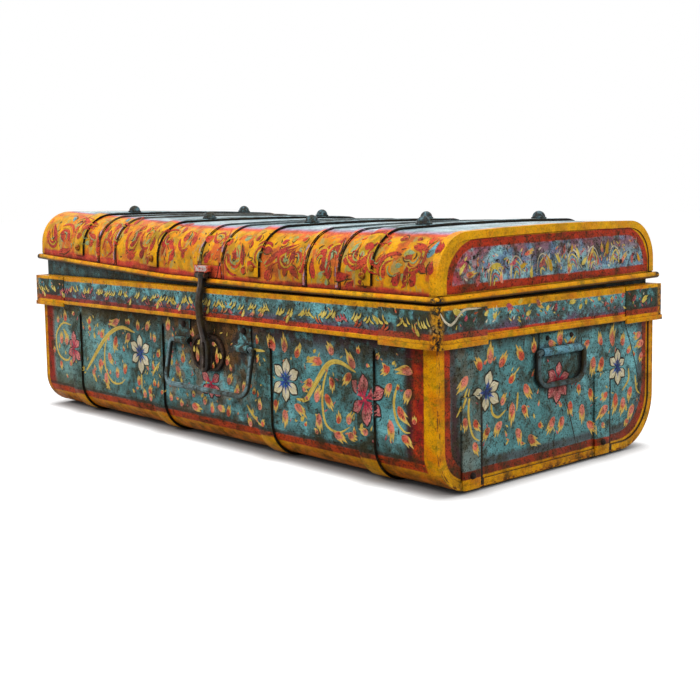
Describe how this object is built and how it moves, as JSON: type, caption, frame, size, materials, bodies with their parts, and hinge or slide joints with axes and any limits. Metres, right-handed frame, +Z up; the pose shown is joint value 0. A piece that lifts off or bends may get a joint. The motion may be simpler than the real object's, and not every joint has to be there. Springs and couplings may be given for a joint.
{
  "type": "tin trunk",
  "caption": "Small painted tin trunk with a domed-edge lid on rear hinges, front hasp, strap reinforcements and three folding wire bail handles.",
  "frame": {"origin": "centre of the trunk's outline on the floor", "axes": "+X along the front towards the right end, +Y from the front to the rear, +Z up"},
  "size_m": [0.7784, 0.388, 0.2791],
  "materials": {
    "body_paint": "hand-painted teal enamel with yellow and red borders, worn and chipped",
    "band_paint": "teal enamel between yellow edges",
    "cap_paint": "teal and yellow enamel, grimy",
    "collar_paint": "dark teal paint, dull",
    "strap_paint": "teal paint with dark worn edges",
    "plate_paint": "teal enamel",
    "lock_iron": "dark brown, chipped",
    "hinge_iron": "dull teal over iron",
    "rivet_iron": "dark iron with blue-grey paint",
    "wire_paint": "blue-grey paint worn to dark iron",
    "hasp_iron": "dark forged iron",
    "hasp_plate_paint": "salmon-red enamel",
    "lid_paint": "mustard enamel with brick-red ornament, blue-grey top",
    "bead_paint": "mustard enamel, dark in the crease",
    "lid_strap_paint": "mustard at the front, dark teal on top"
  },
  "bodies": {
    "trunk": {"body_wrap": "body_paint", "end_panel_left": "body_paint", "end_panel_right": "body_paint", "band_front": "band_paint", "band_back": "band_paint", "band_left": "band_paint", "band_right": "band_paint", "corner_cap_front_left": "cap_paint", "corner_cap_front_right": "cap_paint", "corner_cap_back_left": "cap_paint", "corner_cap_back_right": "cap_paint", "collar": "collar_paint", "body_strap_1": "strap_paint", "body_strap_2": "strap_paint", "body_strap_3": "strap_paint", "body_strap_4": "strap_paint", "cleat_left_front": "strap_paint", "cleat_left_rear": "strap_paint", "cleat_right_front": "strap_paint", "cleat_right_rear": "strap_paint", "front_handle_plate_left": "plate_paint", "front_handle_plate_right": "plate_paint", "left_handle_plate": "plate_paint", "right_handle_plate": "plate_paint", "lock_plate": "lock_iron", "hinge_lower_left": "hinge_iron", "hinge_lower_right": "hinge_iron", "hinge_pin_left": "hinge_iron", "hinge_pin_right": "hinge_iron", "body_rivets": "rivet_iron"},
    "front_bail": {"front_bail": "wire_paint"},
    "left_bail": {"left_bail": "wire_paint"},
    "right_bail": {"right_bail": "wire_paint"},
    "hasp": {"hasp": "hasp_iron"},
    "lid": {"lid_wrap": "lid_paint", "lid_end_left": "lid_paint", "lid_end_right": "lid_paint", "rim_bead": "bead_paint", "lid_studs": "rivet_iron", "strap_rivets": "rivet_iron", "hasp_plate": "hasp_plate_paint", "hasp_pin": "hasp_iron", "hinge_upper_left": "hinge_iron", "hinge_upper_right": "hinge_iron", "lid_strap_1": "lid_strap_paint", "lid_strap_2": "lid_strap_paint", "lid_strap_3": "lid_strap_paint", "lid_strap_4": "lid_strap_paint"}
  },
  "joints": [
    {"name": "lid_hinge", "type": "hinge", "parent": "trunk", "child": "lid", "pos_m": [0, 0.19, 0.189], "axis": [-1, 0, 0], "range_deg": [0, 105]},
    {"name": "hasp_hinge", "type": "hinge", "parent": "lid", "child": "hasp", "pos_m": [0.018, -0.1866, 0.1993], "axis": [-1, 0, 0], "range_deg": [0, 110]},
    {"name": "front_bail_hinge", "type": "hinge", "parent": "trunk", "child": "front_bail", "pos_m": [0.0243, -0.1814, 0.12], "axis": [-1, 0, 0], "range_deg": [0, 115]},
    {"name": "right_bail_hinge", "type": "hinge", "parent": "trunk", "child": "right_bail", "pos_m": [0.3844, 0.005, 0.126], "axis": [0, -1, 0], "range_deg": [0, 115]},
    {"name": "left_bail_hinge", "type": "hinge", "parent": "trunk", "child": "left_bail", "pos_m": [-0.3844, 0.005, 0.126], "axis": [0, 1, 0], "range_deg": [0, 115]}
  ]
}
